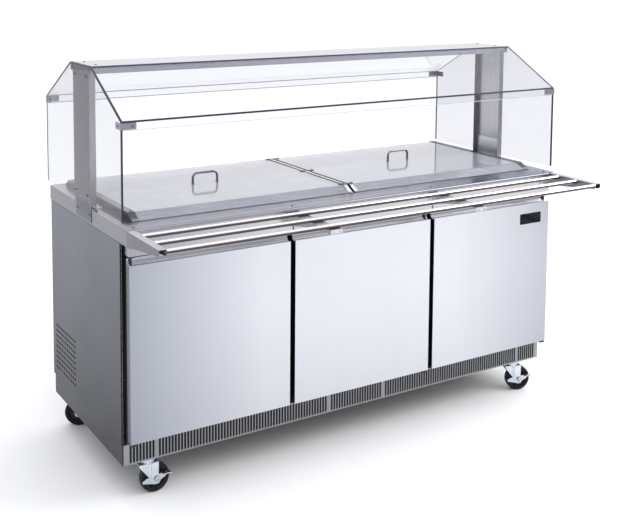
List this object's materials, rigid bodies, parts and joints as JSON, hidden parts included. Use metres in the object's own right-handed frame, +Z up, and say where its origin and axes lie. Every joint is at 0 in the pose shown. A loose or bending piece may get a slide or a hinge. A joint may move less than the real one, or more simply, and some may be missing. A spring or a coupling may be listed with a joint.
{
  "type": "mobile refrigerated salad bar",
  "caption": "Mobile refrigerated salad bar with hinged doors, lift-off clear lids over pans, a double-sided sneeze guard, a tubular tray slide and casters.",
  "frame": {"origin": "centre of the footprint on the floor", "axes": "+X along the width to the user's right, +Y to the rear, the doors and the tray slide face -Y, +Z up"},
  "size_m": [1.8738, 1.046, 1.4311],
  "materials": {
    "panel_steel": "brushed stainless, vertical grain",
    "door_steel": "brushed stainless, vertical grain",
    "front_steel": "brushed stainless, horizontal grain",
    "counter_steel": "brushed stainless",
    "pan_steel": "satin stainless",
    "guard_steel": "brushed stainless",
    "polished_steel": "polished stainless",
    "screw_steel": "polished dome screws",
    "clear_guard": "clear, dark cut edges",
    "clear_lid": "clear, glossy",
    "liner": "satin white liner",
    "gasket": "black, satin",
    "hinge_steel": "dark zinc",
    "badge": "glossy black, blank",
    "compressor_black": "semi-gloss black enamel",
    "coil_aluminium": "mill finish fins",
    "black_plastic": "satin black",
    "copper": "bare copper tube",
    "shelf_wire": "coated wire",
    "zinc": "bright zinc plate",
    "wheel": "black tread and hub"
  },
  "bodies": {
    "cabinet": {"side_panel_left": "panel_steel", "side_panel_right": "panel_steel", "back_panel": "panel_steel", "base_frame": "panel_steel", "front_fascia": "front_steel", "kick_grille": "front_steel", "counter_top": "counter_steel", "pan_well_frame": "counter_steel", "pan_divider_bars": "counter_steel", "top_shelf": "counter_steel", "guard_posts": "guard_steel", "corner_clips": "guard_steel", "tray_supports": "guard_steel", "tray_tubes": "polished_steel", "dome_screws": "screw_steel", "side_pane_left": "clear_guard", "side_pane_right": "clear_guard", "guard_panels": "clear_guard", "insulated_body": "liner", "hinge_brackets": "hinge_steel", "compressor": "compressor_black", "condenser": "coil_aluminium", "evaporator_coil": "coil_aluminium", "temperature_controller": "black_plastic", "cord_gland": "black_plastic", "refrigerant_lines": "copper", "wire_shelves": "shelf_wire", "caster_plates": "zinc"},
    "left_door": {"left_door_skin": "door_steel", "left_door_core": "liner", "left_door_gasket": "gasket"},
    "middle_door": {"middle_door_skin": "door_steel", "middle_door_core": "liner", "middle_door_gasket": "gasket"},
    "right_door": {"right_door_skin": "door_steel", "right_door_core": "liner", "right_door_gasket": "gasket", "door_badge": "badge"},
    "lid_left": {"lid_left_cover": "clear_lid", "lid_left_end_plates": "counter_steel", "lid_left_handle": "polished_steel"},
    "lid_right": {"lid_right_cover": "clear_lid", "lid_right_end_plates": "counter_steel", "lid_right_handle": "polished_steel"},
    "fan": {"condenser_fan": "black_plastic"},
    "pan_1": {"food_pan_1": "pan_steel"},
    "pan_2": {"food_pan_2": "pan_steel"},
    "pan_3": {"food_pan_3": "pan_steel"},
    "pan_4": {"food_pan_4": "pan_steel"},
    "pan_5": {"food_pan_5": "pan_steel"},
    "fork_fl": {"caster_fork_fl": "zinc"},
    "wheel_fl": {"caster_wheel_fl": "wheel"},
    "fork_fr": {"caster_fork_fr": "zinc"},
    "wheel_fr": {"caster_wheel_fr": "wheel"},
    "fork_rl": {"caster_fork_rl": "zinc"},
    "wheel_rl": {"caster_wheel_rl": "wheel"},
    "fork_rr": {"caster_fork_rr": "zinc"},
    "wheel_rr": {"caster_wheel_rr": "wheel"},
    "brake_fl": {"caster_brake_fl": "zinc"},
    "brake_fr": {"caster_brake_fr": "zinc"}
  },
  "joints": [
    {"name": "left_door_hinge", "type": "hinge", "parent": "cabinet", "child": "left_door", "pos_m": [-0.9, -0.227, 0.5], "axis": [0, 0, -1], "range_deg": [0, 95]},
    {"name": "middle_door_hinge", "type": "hinge", "parent": "cabinet", "child": "middle_door", "pos_m": [0.285, -0.227, 0.5], "axis": [0, 0, 1], "range_deg": [0, 95]},
    {"name": "right_door_hinge", "type": "hinge", "parent": "cabinet", "child": "right_door", "pos_m": [0.9, -0.227, 0.5], "axis": [0, 0, 1], "range_deg": [0, 95]},
    {"name": "lid_left_lift", "type": "slide", "parent": "cabinet", "child": "lid_left", "axis": [0, 0, 1], "range_m": [0, 0.3]},
    {"name": "lid_right_lift", "type": "slide", "parent": "cabinet", "child": "lid_right", "axis": [0, 0, 1], "range_m": [0, 0.3]},
    {"name": "pan_1_lift", "type": "slide", "parent": "cabinet", "child": "pan_1", "axis": [0, 0, 1], "range_m": [0, 0.035]},
    {"name": "pan_2_lift", "type": "slide", "parent": "cabinet", "child": "pan_2", "axis": [0, 0, 1], "range_m": [0, 0.035]},
    {"name": "pan_3_lift", "type": "slide", "parent": "cabinet", "child": "pan_3", "axis": [0, 0, 1], "range_m": [0, 0.035]},
    {"name": "pan_4_lift", "type": "slide", "parent": "cabinet", "child": "pan_4", "axis": [0, 0, 1], "range_m": [0, 0.035]},
    {"name": "pan_5_lift", "type": "slide", "parent": "cabinet", "child": "pan_5", "axis": [0, 0, 1], "range_m": [0, 0.035]},
    {"name": "caster_swivel_fl", "type": "hinge", "parent": "cabinet", "child": "fork_fl", "pos_m": [-0.82, -0.155, 0.1125], "axis": [0, 0, 1], "continuous": true},
    {"name": "caster_axle_fl", "type": "hinge", "parent": "fork_fl", "child": "wheel_fl", "pos_m": [-0.795, -0.155, 0.0508], "axis": [0, 1, 0], "continuous": true},
    {"name": "caster_pedal_fl", "type": "hinge", "parent": "fork_fl", "child": "brake_fl", "pos_m": [-0.795, -0.155, 0.0508], "axis": [0, 1, 0], "range_deg": [0, 12]},
    {"name": "caster_swivel_fr", "type": "hinge", "parent": "cabinet", "child": "fork_fr", "pos_m": [0.816, -0.155, 0.1125], "axis": [0, 0, 1], "continuous": true},
    {"name": "caster_axle_fr", "type": "hinge", "parent": "fork_fr", "child": "wheel_fr", "pos_m": [0.83964, -0.16314, 0.0508], "axis": [0.3256, 0.9455, 0], "continuous": true},
    {"name": "caster_pedal_fr", "type": "hinge", "parent": "fork_fr", "child": "brake_fr", "pos_m": [0.83964, -0.16314, 0.0508], "axis": [0.3256, 0.9455, 0], "range_deg": [0, 12]},
    {"name": "caster_swivel_rl", "type": "hinge", "parent": "cabinet", "child": "fork_rl", "pos_m": [-0.824, 0.447, 0.1125], "axis": [0, 0, 1], "continuous": true},
    {"name": "caster_axle_rl", "type": "hinge", "parent": "fork_rl", "child": "wheel_rl", "pos_m": [-0.8452, 0.46025, 0.0508], "axis": [-0.5299, -0.848, 0], "continuous": true},
    {"name": "caster_swivel_rr", "type": "hinge", "parent": "cabinet", "child": "fork_rr", "pos_m": [0.816, 0.447, 0.1125], "axis": [0, 0, 1], "continuous": true},
    {"name": "caster_axle_rr", "type": "hinge", "parent": "fork_rr", "child": "wheel_rr", "pos_m": [0.84045, 0.4418, 0.0508], "axis": [0.2079, 0.9781, 0], "continuous": true},
    {"name": "condenser_fan_spin", "type": "hinge", "parent": "cabinet", "child": "fan", "pos_m": [-0.83, 0.372, 0.3185], "axis": [1, 0, 0], "continuous": true}
  ]
}
